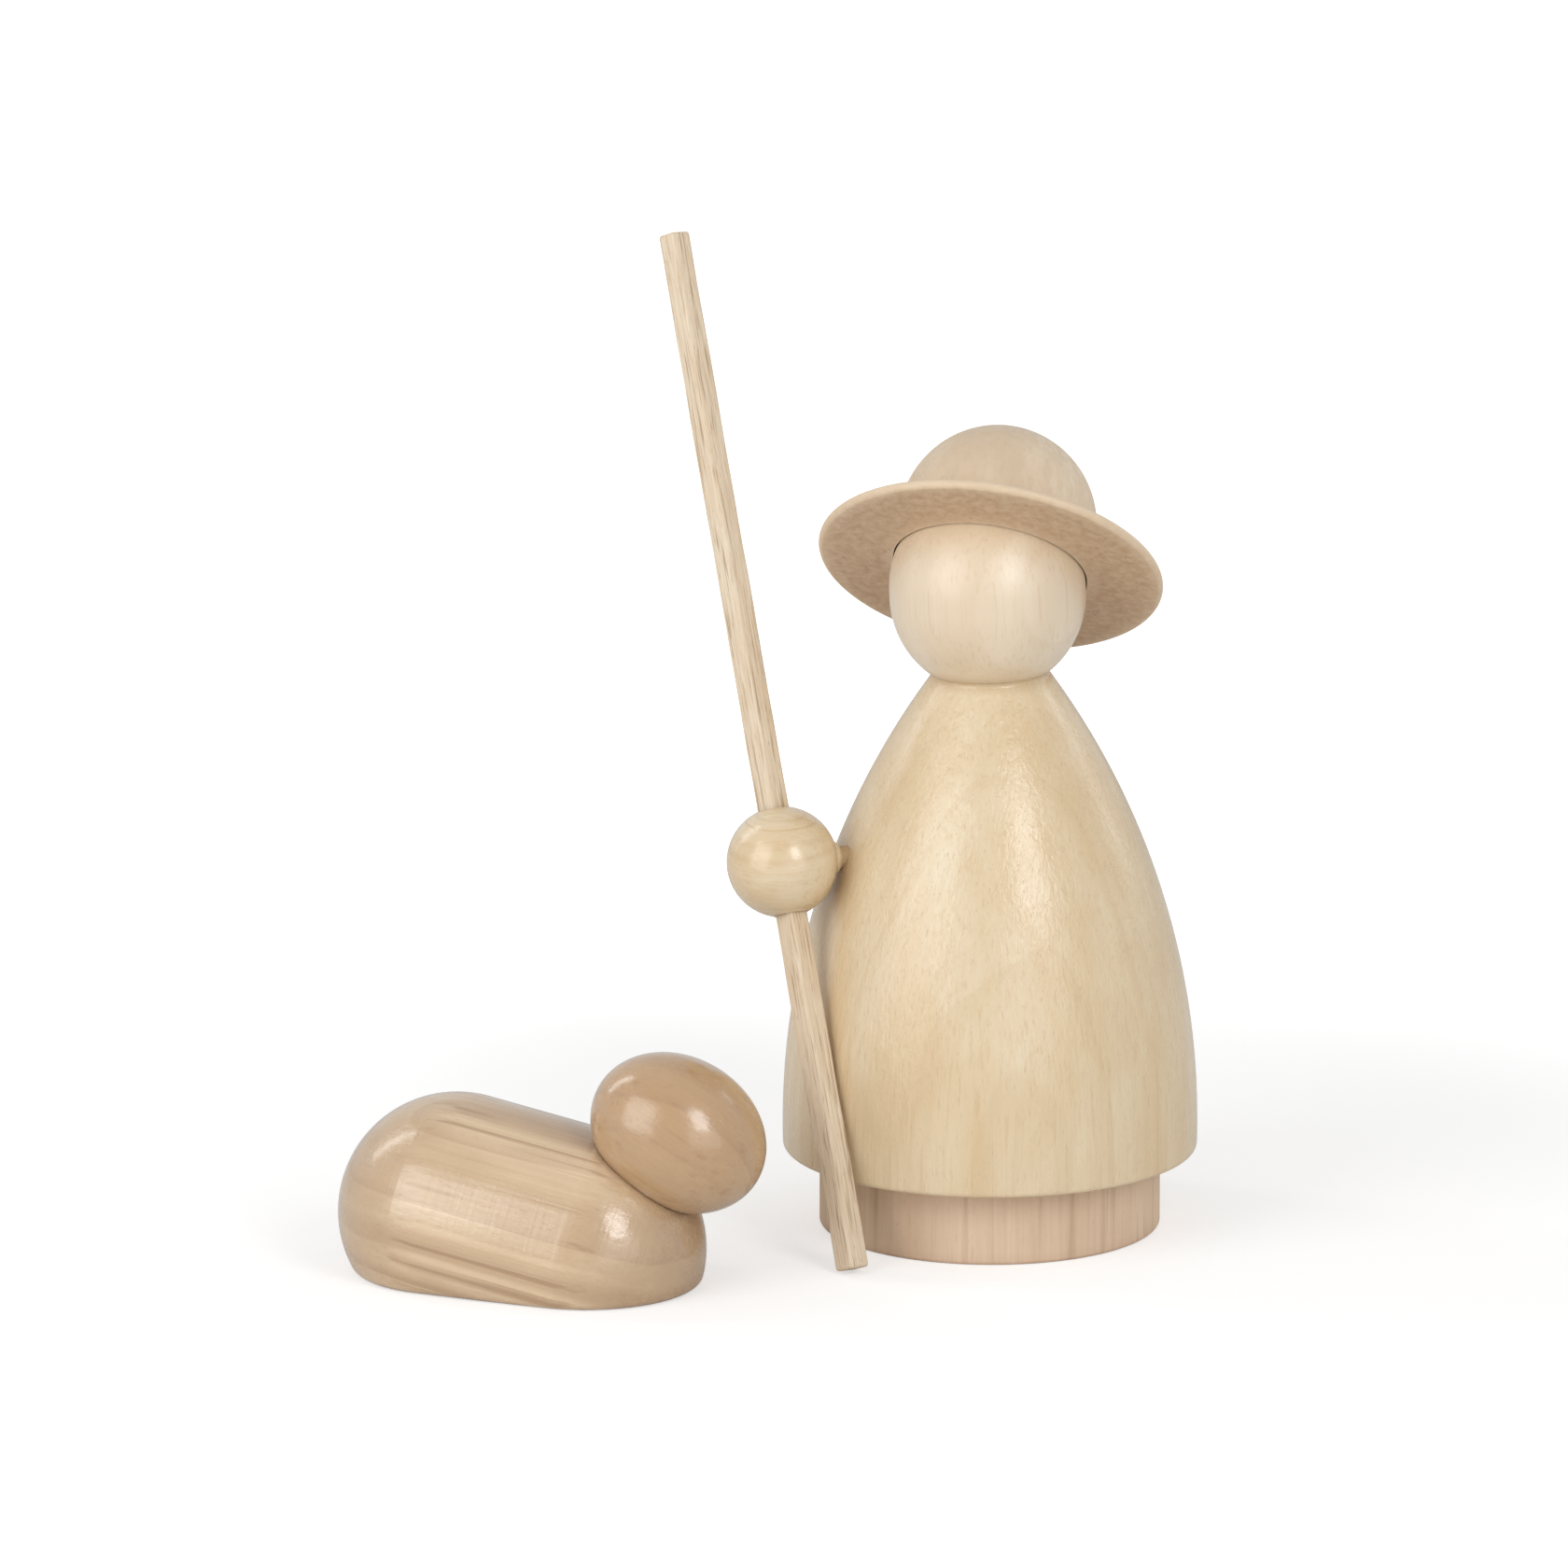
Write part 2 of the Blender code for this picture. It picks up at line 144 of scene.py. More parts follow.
def makeWoodGrain():
    tree, given, made = newGroup(
        "woodGrain",
        [
            ("Position", "Vector", None),
            ("Pith", "Vector", (30, 20, 0)),  # where the tree's centre lay
            ("Ring Width", "Float", 2.5),
            ("Ring Fade", "Float", 0.3),  # where in a ring its dark part begins
            ("Wander", "Float", 1.5),
            ("Fibre Width", "Float", 0.35),
            ("Fibre Length", "Float", 9),
            ("Streak Width", "Float", 0.6),
            ("Streak Length", "Float", 22),
        ],
        [
            ("Rings", "Float"),
            ("Fibres", "Float"),
            ("Streaks", "Float"),
            ("Clouds", "Float"),
            ("Pores", "Float"),
        ],
    )
    place = given["Position"]
    # rings round the pith, bent by a slow noise and unevenly wide
    slow = calcVector(tree, "MULTIPLY", place, grainForm["bendSize"])
    drift = calcVector(tree, "SUBTRACT", mottle(tree, slow, 2).outputs["Color"], (0.5, 0.5, 0.5))
    bent = calcVector(tree, "SCALE", calcVector(tree, "MULTIPLY", drift, grainForm["bendReach"]))
    feed(tree, bent.node.inputs["Scale"], given["Wander"])
    across = calcVector(tree, "SUBTRACT", calcVector(tree, "ADD", place, bent), given["Pith"])
    radius = calcVector(tree, "LENGTH", calcVector(tree, "MULTIPLY", across, (1, 1, 0)))
    count = calc(tree, "DIVIDE", radius, given["Ring Width"])
    pace = lineNoise(tree, calc(tree, "MULTIPLY", count, grainForm["widthPace"]))
    count = calc(tree, "MULTIPLY_ADD", pace, grainForm["widthChange"], count)
    season = calc(tree, "FRACT", count)
    darkens = ease(tree, season, given["Ring Fade"], grainForm["ringEnd"])
    late = calc(tree, "MULTIPLY", darkens, ease(tree, season, 1.0, grainForm["ringEnd"]))
    strength = lineNoise(tree, calc(tree, "MULTIPLY", calc(tree, "FLOOR", count), grainForm["ringStep"]))
    feed(tree, made["Rings"], calc(tree, "MULTIPLY", late, ease(tree, strength, *grainForm["ringPick"])))
    # long fine fibres
    thin = calcVector(tree, "DIVIDE", place, joined(tree, given["Fibre Width"], given["Fibre Length"]))
    fibres = mottle(tree, thin, 3, grainForm["fibreRoughness"]).outputs[0]
    feed(tree, made["Fibres"], ease(tree, fibres, *grainForm["fibrePick"]))
    # sparse darker lines, longer than the fibres
    long = calcVector(tree, "DIVIDE", place, joined(tree, given["Streak Width"], given["Streak Length"]))
    streaks = mottle(tree, long, 2, grainForm["streakRoughness"]).outputs[0]
    feed(tree, made["Streaks"], ease(tree, streaks, *grainForm["streakPick"]))
    # broad soft patches
    broad = calcVector(tree, "MULTIPLY", place, grainForm["cloudSize"])
    feed(tree, made["Clouds"], ease(tree, mottle(tree, broad, 3).outputs[0], *grainForm["cloudPick"]))
    # short dark pores
    short = calcVector(tree, "MULTIPLY", place, grainForm["poreSize"])
    feed(tree, made["Pores"], ease(tree, mottle(tree, short, 1).outputs[0], *grainForm["porePick"]))
    return tree


streaksGone = 0.4  # how much the painted shade, and the end grain on the sheep, hide the streaks under them


def makeWoodTone():
    tree, given, made = newGroup(
        "woodTone",
        [
            ("Rings", "Float", 0),
            ("Fibres", "Float", 0),
            ("Streaks", "Float", 0),
            ("Clouds", "Float", 0),
            ("Pores", "Float", 0),
            ("Edges", "Float", 0),
            ("Shade And End Grain", "Float", 0),
            ("Pale", "Color", (0.8, 0.66, 0.46, 1)),
            ("Warm", "Color", (0.7, 0.52, 0.32, 1)),
            ("Line", "Color", (0.5, 0.33, 0.2, 1)),
            ("Edge", "Color", (0.5, 0.33, 0.2, 1)),
            ("Shade And End Grain Tone", "Color", (0.5, 0.33, 0.2, 1)),
            ("Cloud Share", "Float", 0.6),
            ("Ring Share", "Float", 0.3),
            ("Fibre Share", "Float", 0.25),
            ("Streak Share", "Float", 0.2),
            ("Pore Share", "Float", 0.3),
            ("Edge Share", "Float", 0.2),
            ("Shade And End Grain Share", "Float", 0.6),
        ],
        [("Color", "Color")],
    )
    tone = given["Pale"]
    # the mask of painted shade in creases and under the brim, and of end grain on the sheep's ends, thins the
    # streaks and darkens the tone
    streaks = calc(tree, "MULTIPLY", given["Streaks"], ease(tree, given["Shade And End Grain"], streaksGone, 0.0))
    for mask, share, over in (
        ("Clouds", "Cloud Share", "Warm"),
        ("Shade And End Grain", "Shade And End Grain Share", "Shade And End Grain Tone"),
        ("Rings", "Ring Share", "Line"),
        ("Fibres", "Fibre Share", "Warm"),
        ("Streaks", "Streak Share", "Line"),
        ("Pores", "Pore Share", "Line"),
        ("Edges", "Edge Share", "Edge"),
    ):
        amount = streaks if mask == "Streaks" else given[mask]
        tone = tint(tree, calc(tree, "MULTIPLY", amount, given[share]), tone, given[over])
    feed(tree, made["Color"], tone)
    return tree


skinForm = {
    "gritSize": (2.3, 2.3, 1.1),  # per millimetre, as the next size
    "gritRoughness": 0.6,
    "smearSize": (0.45, 0.45, 0.3),
    "smearPick": (0.3, 0.7),
    "fibreDullness": 0.5,  # of the unevenness
    "fibreHeight": 0.35,  # of the relief, as the pores'
    "poreHeight": -0.5,
}


def makeLacquerSkin():
    tree, given, made = newGroup(
        "lacquerSkin",
        [
            ("Position", "Vector", None),
            ("Fibres", "Float", 0),
            ("Pores", "Float", 0),
            ("Roughness", "Float", 0.35),
            ("Unevenness", "Float", 0.1),
            ("Mark Spacing", "Float", 0.5),  # of the lathe's marks, along Z
            ("Mark Depth", "Float", 0.2),
        ],
        [("Roughness", "Float"), ("Height", "Float")],
    )
    uneven = given["Unevenness"]
    dapple = calcVector(tree, "MULTIPLY", given["Position"], skinForm["gritSize"])
    grit = mottle(tree, dapple, 3, skinForm["gritRoughness"]).outputs[0]
    smear = calcVector(tree, "MULTIPLY", given["Position"], skinForm["smearSize"])
    dullness = ease(tree, mottle(tree, smear, 2).outputs[0], *skinForm["smearPick"])
    rough = calc(tree, "MULTIPLY_ADD", calc(tree, "SUBTRACT", dullness, 0.5), uneven, given["Roughness"])
    dull = calc(tree, "MULTIPLY", uneven, skinForm["fibreDullness"])
    rough = calc(tree, "MULTIPLY_ADD", given["Fibres"], dull, rough)
    feed(tree, made["Roughness"], rough)
    along = addNode(tree, "ShaderNodeSeparateXYZ", {"Vector": given["Position"]}).outputs["Z"]
    turns = calc(tree, "DIVIDE", along, given["Mark Spacing"])
    height = calc(tree, "MULTIPLY_ADD", lineNoise(tree, turns, 2), given["Mark Depth"], grit)
    height = calc(tree, "MULTIPLY_ADD", given["Fibres"], skinForm["fibreHeight"], height)
    height = calc(tree, "MULTIPLY_ADD", given["Pores"], skinForm["poreHeight"], height)
    feed(tree, made["Height"], height)
    return tree


woodGrain = makeWoodGrain()
woodTone = makeWoodTone()
lacquerSkin = makeLacquerSkin()
print("shader groups made")


def makeWood(name, look, grainFrame):
    # grainFrame places the grain: its Z runs along the fibres, and the pith is measured from its origin
    material = bpy.data.materials.new(name)
    material.use_nodes = True
    tree = material.node_tree
    shader = tree.nodes["Principled BSDF"]
    turn = grainFrame.to_euler()
    coords = addNode(tree, "ShaderNodeTexCoord").outputs["Object"]
    position = addNode(
        tree,
        "ShaderNodeMapping",
        {
            "Vector": coords,
            "Location": grainFrame.translation,
            "Rotation": turn,
            "Scale": (millimetre, millimetre, millimetre),
        },
        vector_type="TEXTURE",
    ).outputs[0]
    grain = addNode(tree, "ShaderNodeGroup", node_tree=woodGrain)
    for socket, value in {
        "Position": position,
        "Pith": look["pith"],
        "Ring Width": look["ringWidth"],
        "Ring Fade": look["ringFade"],
        "Wander": look["wander"],
        "Fibre Width": look["fibreWidth"],
        "Fibre Length": look["fibreLength"],
        "Streak Width": look["streakWidth"],
        "Streak Length": look["streakLength"],
    }.items():
        feed(tree, grain.inputs[socket], value)
    tone = addNode(tree, "ShaderNodeGroup", node_tree=woodTone)
    for mask in ("Rings", "Fibres", "Streaks", "Clouds", "Pores"):
        feed(tree, tone.inputs[mask], grain.outputs[mask])
    for socket, value in {
        "Edges": addNode(tree, "ShaderNodeAttribute", attribute_name="edgeWear").outputs["Fac"],
        # a mask of painted shade in creases and under the brim, and of end grain on the sheep's ends
        "Shade And End Grain": addNode(tree, "ShaderNodeAttribute", attribute_name="shadeAndEndGrain").outputs["Fac"],
        "Pale": (*look["pale"], 1),
        "Warm": (*look["warm"], 1),
        "Line": (*look["line"], 1),
        "Edge": (*look["edge"], 1),
        "Shade And End Grain Tone": (*look["shadeAndEndGrainTone"], 1),
        "Cloud Share": look["cloudShare"],
        "Ring Share": look["ringShare"],
        "Fibre Share": look["fibreShare"],
        "Streak Share": look["streakShare"],
        "Pore Share": look["poreShare"],
        "Edge Share": look["edgeShare"],
        "Shade And End Grain Share": look["shadeAndEndGrainShare"],
    }.items():
        feed(tree, tone.inputs[socket], value)
    skin = addNode(tree, "ShaderNodeGroup", node_tree=lacquerSkin)
    for socket, value in {
        "Position": position,
        "Fibres": grain.outputs["Fibres"],
        "Pores": grain.outputs["Pores"],
        "Roughness": look["roughness"],
        "Unevenness": look["unevenness"],
        "Mark Spacing": look["markSpacing"],
        "Mark Depth": look["markDepth"],
    }.items():
        feed(tree, skin.inputs[socket], value)
    bump = addNode(
        tree,
        "ShaderNodeBump",
        {"Height": skin.outputs["Height"], "Distance": look["relief"], "Strength": 1},
    )
    feed(tree, shader.inputs["Base Color"], tone.outputs["Color"])
    feed(tree, shader.inputs["Roughness"], skin.outputs["Roughness"])
    feed(tree, shader.inputs["Normal"], bump.outputs["Normal"])
    shader.inputs["IOR"].default_value = look["ior"]
    shader.inputs["Coat Weight"].default_value = look["coat"]
    shader.inputs["Coat Roughness"].default_value = look["coatRoughness"]
    shader.inputs["Coat IOR"].default_value = look["coatIor"]
    return material


# Helpers for turned pieces

turning = {
    "steps": 160,  # round a piece that gives no count of its own
    "arcSteps": 32,
    "holeSteps": 32,
    "merge": 1e-7,
    "sharpAngle": math.radians(32),
}


def arcPoints(centre, radii, start, stop, steps=None):
    # (radius, height) points of an arc, with angles in degrees from straight out
    count = steps or turning["arcSteps"]
    angles = [math.radians(start + (stop - start) * step / count) for step in range(count + 1)]
    return [(centre[0] + radii[0] * math.cos(a), centre[1] + radii[1] * math.sin(a)) for a in angles]


def turn(outline, place=Matrix.Identity(4), steps=None):
    bm = bmesh.new()
    points = [bm.verts.new((radius, 0, height)) for radius, height in outline]
    lines = [bm.edges.new(pair) for pair in zip(points, points[1:])]
    bmesh.ops.spin(
        bm,
        geom=points + lines,
        cent=(0, 0, 0),
        axis=up,
        angle=2 * math.pi,
        steps=steps or turning["steps"],
        use_merge=True,
    )
    bmesh.ops.remove_doubles(bm, verts=bm.verts, dist=turning["merge"])
    bmesh.ops.recalc_face_normals(bm, faces=bm.faces)
    bmesh.ops.transform(bm, matrix=place, verts=bm.verts)
    return bm


def between(start, stop, steps):
    # the points on the way from one outline point to another, without the two
    return [tuple(Vector(start).lerp(Vector(stop), step / steps)) for step in range(1, steps)]


def pinOutline(radius, low, high):
    return [(0, low), (radius, low), (radius, high), (0, high)]


def axisFrame(direction, at):
    return Matrix.Translation(at) @ Vector(direction).to_track_quat("Z", "Y").to_matrix().to_4x4()


def addPiece(name, bm):
    mesh = bpy.data.meshes.new(name)
    bm.to_mesh(mesh)
    bm.free()
    piece = bpy.data.objects.new(name, mesh)
    bpy.context.scene.collection.objects.link(piece)
    return piece


def carve(piece, bm, operation="DIFFERENCE"):
    tool = addPiece("tool", bm)
    modifier = piece.modifiers.new("carve", "BOOLEAN")
    modifier.operation = operation
    modifier.solver = "EXACT"
    modifier.object = tool
    carved = bakedMesh(piece)
    piece.modifiers.clear()
    piece.data = carved
    bpy.data.objects.remove(tool)


def bakedMesh(piece):
    bpy.context.view_layer.update()
    depsgraph = bpy.context.evaluated_depsgraph_get()
    return bpy.data.meshes.new_from_object(piece.evaluated_get(depsgraph))


def finishPiece(piece, material, body, nodes, shadeAndEndGrainAt=None):
    mesh = piece.data
    mesh.shade_smooth()
    mesh.set_sharp_from_angle(angle=turning["sharpAngle"])
    mesh.materials.clear()
    mesh.materials.append(material)
    markEdges(mesh)
    # the mask of painted shade, and on the sheep's body of end grain too
    if shadeAndEndGrainAt:
        attribute = mesh.attributes.new("shadeAndEndGrain", "FLOAT", "POINT")
        attribute.data.foreach_set("value", [shadeAndEndGrainAt(vertex.co) for vertex in mesh.vertices])
    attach(piece, body)
    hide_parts(*nodes)
    print("piece made:", piece.name, len(mesh.vertices), "vertices")
    return piece


edgeMarks = {"angle": math.radians(12), "softenings": 3, "passedOn": 0.6}


def wornBeside(vertex, wear):
    return max((wear[edge.other_vert(vertex)] for edge in vertex.link_edges), default=0)


def markEdges(mesh):
    # an attribute that is 1 on turned corners and fades over the next few vertices
    bm = bmesh.new()
    bm.from_mesh(mesh)
    wear = {vertex: 0.0 for vertex in bm.verts}
    for edge in bm.edges:
        if len(edge.link_faces) == 2 and edge.calc_face_angle(0) > edgeMarks["angle"]:
            for vertex in edge.verts:
                wear[vertex] = 1.0
    for _ in range(edgeMarks["softenings"]):
        wear = {
            vertex: max(worn, edgeMarks["passedOn"] * wornBeside(vertex, wear))
            for vertex, worn in wear.items()
        }
    attribute = mesh.attributes.new("edgeWear", "FLOAT", "POINT")
    attribute.data.foreach_set("value", list(wear.values()))
    bm.free()


def fade(distance, reach):
    # 1 up to the surface, 0 from reach on
    return max(0.0, min(1.0, 1 - distance / reach))


# The CAD nodes that the pieces are measured from

plinthLow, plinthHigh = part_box("plinth")
cloakLow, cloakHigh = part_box("cloak_body")
plinthDowelLow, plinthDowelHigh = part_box("plinth_dowel")
glueLine = 0.00001  # what stays open between plinth and cloak
plinthTop = cloakLow.z - glueLine
dowelRoom = 0.0002  # round each dowel in its hole
endRoom = 0.0004  # beyond its ends

# Plinth

plinthShape = {"edge": 0.00035, "edgeSteps": 5, "sideSteps": 24}
# A wood's look: colours, sizes of its marks in millimetres, the share of each mark in the colour, and its
# lacquer, with the bump's relief in metres
# Each look's deep tone is painted shade in creases and under things, and end grain on the sheep's ends
plinthLook = {
    "pale": (0.76, 0.585, 0.43),
    "warm": (0.63, 0.45, 0.305),
    "line": (0.42, 0.265, 0.165),
    "edge": (0.50, 0.32, 0.22),
    "shadeAndEndGrainTone": (0.38, 0.23, 0.15),
    "pith": (-46, 30, 0),
    "ringWidth": 2.2,
    "ringFade": 0.6,
    "wander": 1.2,
    "fibreWidth": 0.4,
    "fibreLength": 14,
    "streakWidth": 1.1,
    "streakLength": 30,
    "cloudShare": 0.6,
    "ringShare": 0.3,
    "fibreShare": 0.4,
    "streakShare": 0.5,
    "poreShare": 0.2,
    "edgeShare": 0.3,
    "shadeAndEndGrainShare": 0.7,
    "roughness": 0.6,
    "unevenness": 0.12,
    "markSpacing": 0.4,
    "markDepth": 0.1,
    "ior": 1.45,
    "relief": 0.00002,
    "coat": 0,
    "coatRoughness": 0.4,
    "coatIor": 1.5,
}


def makePlinth():
    radius = plinthHigh.x
    edge = plinthShape["edge"]
    edgeSteps = plinthShape["edgeSteps"]
    hole = plinthDowelHigh.x + dowelRoom
    floorOfHole = plinthDowelLow.z - endRoom
    outline = [(0, 0)]
    outline += arcPoints((radius - edge, edge), (edge, edge), -90, 0, edgeSteps)
    outline += between((radius, edge), (radius, plinthTop - edge), plinthShape["sideSteps"])
    outline += arcPoints((radius - edge, plinthTop - edge), (edge, edge), 0, 90, edgeSteps)
    outline += [(hole, plinthTop), (hole, floorOfHole), (0, floorOfHole)]
    piece = addPiece("turnedPlinth", turn(outline))
    wood = makeWood("pinkishBeech", plinthLook, Matrix.Translation((0, 0, plinthTop / 2)))
    return finishPiece(piece, wood, "shepherd", ["plinth"])


# Cloak and head

cloakShape = {
    "widestAt": 0.0022,  # above the hem
    "hemRounding": 0.0005,
    "hemSteps": 8,
    "slopeSteps": 90,
    "roundSteps": 200,
    "neckRadius": 0.0053,
    "neckFillet": 0.0004,
    "filletSteps": 8,
    "filletRoot": 2,  # from the fillet's centre to its back, inside the wood, in its radii
}
headShape = {
    "radius": 0.00875,
    "stretch": 0.0008,  # between the two half balls that make the head
    "lean": math.radians(3),
    "neckLand": 0.0003,
    "seatRoom": 0.00001,
    "dowelRadius": 0.002,
    "dowelLength": 0.011,
    "roundSteps": 200,
}
creamWood = {
    "pale": (0.78, 0.652, 0.455),
    "warm": (0.68, 0.5, 0.285),
    "line": (0.6, 0.41, 0.22),
    "edge": (0.62, 0.46, 0.27),
    # painted shade at the neck and where the hand touches
    "shadeAndEndGrainTone": (0.52, 0.36, 0.19),
    "pith": (6, -95, 0),
    "ringWidth": 1.9,
    "ringFade": 0.35,
    "wander": 1.9,
    "fibreWidth": 0.5,
    "fibreLength": 14,
    "streakWidth": 0.36,
    "streakLength": 26,
    "cloudShare": 0.8,
    "ringShare": 0.2,
    "fibreShare": 0.26,
    "streakShare": 0.36,
    "poreShare": 0.05,
    "edgeShare": 0.15,
    "shadeAndEndGrainShare": 0.8,
    "roughness": 0.21,
    "unevenness": 0.09,
    "markSpacing": 0.45,
    "markDepth": 0.1,
    "ior": 1.58,
    "relief": 0.00005,
    "coat": 0.25,
    "coatRoughness": 0.2,
    "coatIor": 1.5,
}

# How far the painted shade reaches out of each corner
shadeReach = {"neck": 0.0011, "hand": 0.0009, "sheepNeck": 0.0007}

beadLow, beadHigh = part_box("hand_bead")
handShift = Vector((-0.0002, 0, 0))  # from the solid's place, as in the photograph
handCentre = (beadLow + beadHigh) / 2 + handShift
handPinFrame = axisFrame((-handCentre.x, -handCentre.y, 0), handCentre)  # level, towards the cloak's axis

cloakArcLow = cloakLow.z + cloakShape["widestAt"]
cloakArcDepth = cloakHigh.x - cloakShape["neckRadius"]
cloakArcRise = cloakHigh.z - cloakArcLow
cloakArcRadius = (cloakArcDepth**2 + cloakArcRise**2) / (2 * cloakArcDepth)
cloakArcCentre = (cloakHigh.x - cloakArcRadius, cloakArcLow)


def placeHead():
    # the lower half ball's centre, with Z up the head
    seat = cloakShape["neckRadius"] - headShape["neckLand"]
    upHead = Vector((-math.sin(headShape["lean"]), 0, math.cos(headShape["lean"])))
    rise = math.sqrt(headShape["radius"] ** 2 - seat**2)
    return axisFrame(upHead, Vector((0, 0, cloakHigh.z)) + upHead * rise)


headFrame = placeHead()


def headOutline(radius):
    lower = arcPoints((0, 0), (radius, radius), -90, 0)
    upper = arcPoints((0, headShape["stretch"]), (radius, radius), 0, 90)
    return lower + upper


def neckHole():
    middle = -headShape["radius"]
    half = headShape["dowelLength"] / 2 + endRoom
    return pinOutline(headShape["dowelRadius"] + dowelRoom, middle - half, middle + half)


def neckFillet():
    # a closed ring that fills the corner between cloak and head; the head leans, so each section differs
    size = cloakShape["neckFillet"]
    root = size * cloakShape["filletRoot"]
    steps = cloakShape["filletSteps"]
    radius = headShape["radius"]
    sections = []
    bm = bmesh.new()
    for step in range(turning["steps"]):
        angle = 2 * math.pi * step / turning["steps"]
        outward = Vector((math.cos(angle), math.sin(angle)))
        ball = Vector((headFrame.translation.xy.dot(outward), headFrame.translation.z))
        aside = headFrame.translation.xy.cross(outward)
        ballRadius = math.sqrt(radius**2 - aside**2)
        slope = Vector(cloakArcCentre)
        ballReach = ballRadius + size
        slopeReach = cloakArcRadius + size
        gap = (ball - slope).length
        along = (slopeReach**2 - ballReach**2 + gap**2) / (2 * gap)
        towards = (ball - slope) / gap
        outer = Vector((towards.y, -towards.x))
        middle = slope + towards * along + outer * math.sqrt(slopeReach**2 - along**2)
        onSlope = (slope - middle).normalized()
        onBall = (ball - middle).normalized()
        turned = onSlope.angle_signed(onBall)
        points = [middle + onSlope * root]
        for share in range(steps + 1):
            spread = Matrix.Rotation(-turned * share / steps, 2)
            points.append(middle + spread @ onSlope * size)
        points.append(middle + onBall * root)
        sections.append([bm.verts.new((*(outward * point.x), point.y)) for point in points])
    for section, following in zip(sections, sections[1:] + sections[:1]):
        for index, vertex in enumerate(section):
            after = (index + 1) % len(section)
            bm.faces.new((vertex, section[after], following[after], following[index]))
    bmesh.ops.recalc_face_normals(bm, faces=bm.faces)
    return bm


def makeCloak():
    rounding = cloakShape["hemRounding"]
    roundingTop = cloakLow.z + rounding
    hemDrop = roundingTop - cloakArcCentre[1]
    hemRadius = cloakArcCentre[0] + math.sqrt(cloakArcRadius**2 - hemDrop**2)
    firstAngle = math.degrees(math.asin(hemDrop / cloakArcRadius))
    lastAngle = math.degrees(math.asin(cloakArcRise / cloakArcRadius))
    hole = plinthDowelHigh.x + dowelRoom
    topOfHole = plinthDowelHigh.z + endRoom
    hemCentre = (hemRadius - rounding, roundingTop)
    slopeRadii = (cloakArcRadius, cloakArcRadius)
    outline = [(0, topOfHole), (hole, topOfHole), (hole, cloakLow.z)]
    outline += arcPoints(hemCentre, (rounding, rounding), -90, 0, cloakShape["hemSteps"])
    outline += arcPoints(cloakArcCentre, slopeRadii, firstAngle, lastAngle, cloakShape["slopeSteps"])[1:]
    outline += [(0, cloakHigh.z)]
    piece = addPiece("turnedCloak", turn(outline, steps=cloakShape["roundSteps"]))
    carve(piece, neckFillet(), "UNION")
    carve(piece, turn(headOutline(headShape["radius"] + headShape["seatRoom"]), headFrame))
    carve(piece, turn(neckHole(), headFrame, turning["holeSteps"]))
    carve(piece, turn(handHole(), handPinFrame, turning["holeSteps"]))
    middle = (cloakLow.z + cloakHigh.z) / 2
    wood = makeWood("creamMapleCloak", creamWood, Matrix.Translation((0, 0, middle)))
    return finishPiece(piece, wood, "shepherd", ["cloak_body"], shadeOnCloak)


def shadeOnCloak(spot):
    # painted shade under the head and where the hand touches
    underHead = fade((spot - headFrame.translation).length - headShape["radius"], shadeReach["neck"])
    atHand = fade((spot - handCentre).length - handShape["radius"], shadeReach["hand"])
    return max(underHead, atHand)


headLook = creamWood | {
    "pale": (0.815, 0.69, 0.52),
    "warm": (0.745, 0.59, 0.405),
    "pith": (-60, -50, 0),
    "ringWidth": 2.3,
    "fibreWidth": 0.7,
    "fibreLength": 18,
    "ringShare": 0.16,
    "poreShare": 0,
    "roughness": 0.36,
    "markDepth": 0.05,
    "ior": 1.62,
    "relief": 0.000022,
    "coat": 1,
    "coatRoughness": 0.46,
    "coatIor": 1.8,
}


def makeHead():
    outline = headOutline(headShape["radius"])
    piece = addPiece("turnedHead", turn(outline, headFrame, headShape["roundSteps"]))
    carve(piece, turn(neckHole(), headFrame, turning["holeSteps"]))
    wood = makeWood("creamMapleHead", headLook, headFrame)
    return finishPiece(piece, wood, "shepherd", ["head"], shadeOnHead)


def shadeOnHead(spot):
    # painted shade down at the neck
    return fade(spot.z - cloakHigh.z, shadeReach["neck"])


# Hat

hatShape = {
    "tipBack": math.radians(39.5),
    "roll": math.radians(8.8),
    "brimAbove": 0.00164,  # the head's upper ball centre
    "brimWidth": 0.0066,
    "brimThickness": 0.0009,
    "rootFillet": 0.0008,
    "crownWall": 0.00216,
    "crownShoulder": 0.0044,
    "crownTop": 0.0061,
    "headRoom": 0.00014,
    "fitRoom": 0.0003,
    "undersideSteps": 40,
    "rimSteps": 12,
    "rootSteps": 10,
    "crownSteps": 70,
    "roundSteps": 220,
    "hollowSteps": 200,
}
hatLook = {
    "pale": (0.82, 0.69, 0.52),
    "warm": (0.67, 0.515, 0.355),
    "line": (0.46, 0.33, 0.22),
    "edge": (0.84, 0.68, 0.49),
    # painted shade under the brim
    "shadeAndEndGrainTone": (0.46, 0.275, 0.145),
    "pith": (35, -60, 0),
    "ringWidth": 1.6,
    "ringFade": 0.4,
    "wander": 1.2,
    "fibreWidth": 0.8,
    "fibreLength": 1.5,
    "streakWidth": 0.8,
    "streakLength": 3,
    "cloudShare": 0.9,
    "ringShare": 0.1,
    "fibreShare": 0.6,
    "streakShare": 0.12,
    "poreShare": 0.04,
    "edgeShare": 0.5,
    "shadeAndEndGrainShare": 0.9,
    "roughness": 0.34,
    "unevenness": 0.16,
    "markSpacing": 0.35,
    "markDepth": 0.15,
    "ior": 1.5,
    "relief": 0.00004,
    "coat": 0,
    "coatRoughness": 0.3,
    "coatIor": 1.5,
}


def placeHat():
    back = math.sin(hatShape["tipBack"]) * math.cos(hatShape["roll"])
    rise = math.cos(hatShape["tipBack"]) * math.cos(hatShape["roll"])
    direction = Vector((math.sin(hatShape["roll"]), back, rise))
    return axisFrame(direction, headFrame @ Vector((0, 0, headShape["stretch"])))


hatFrame = placeHat()


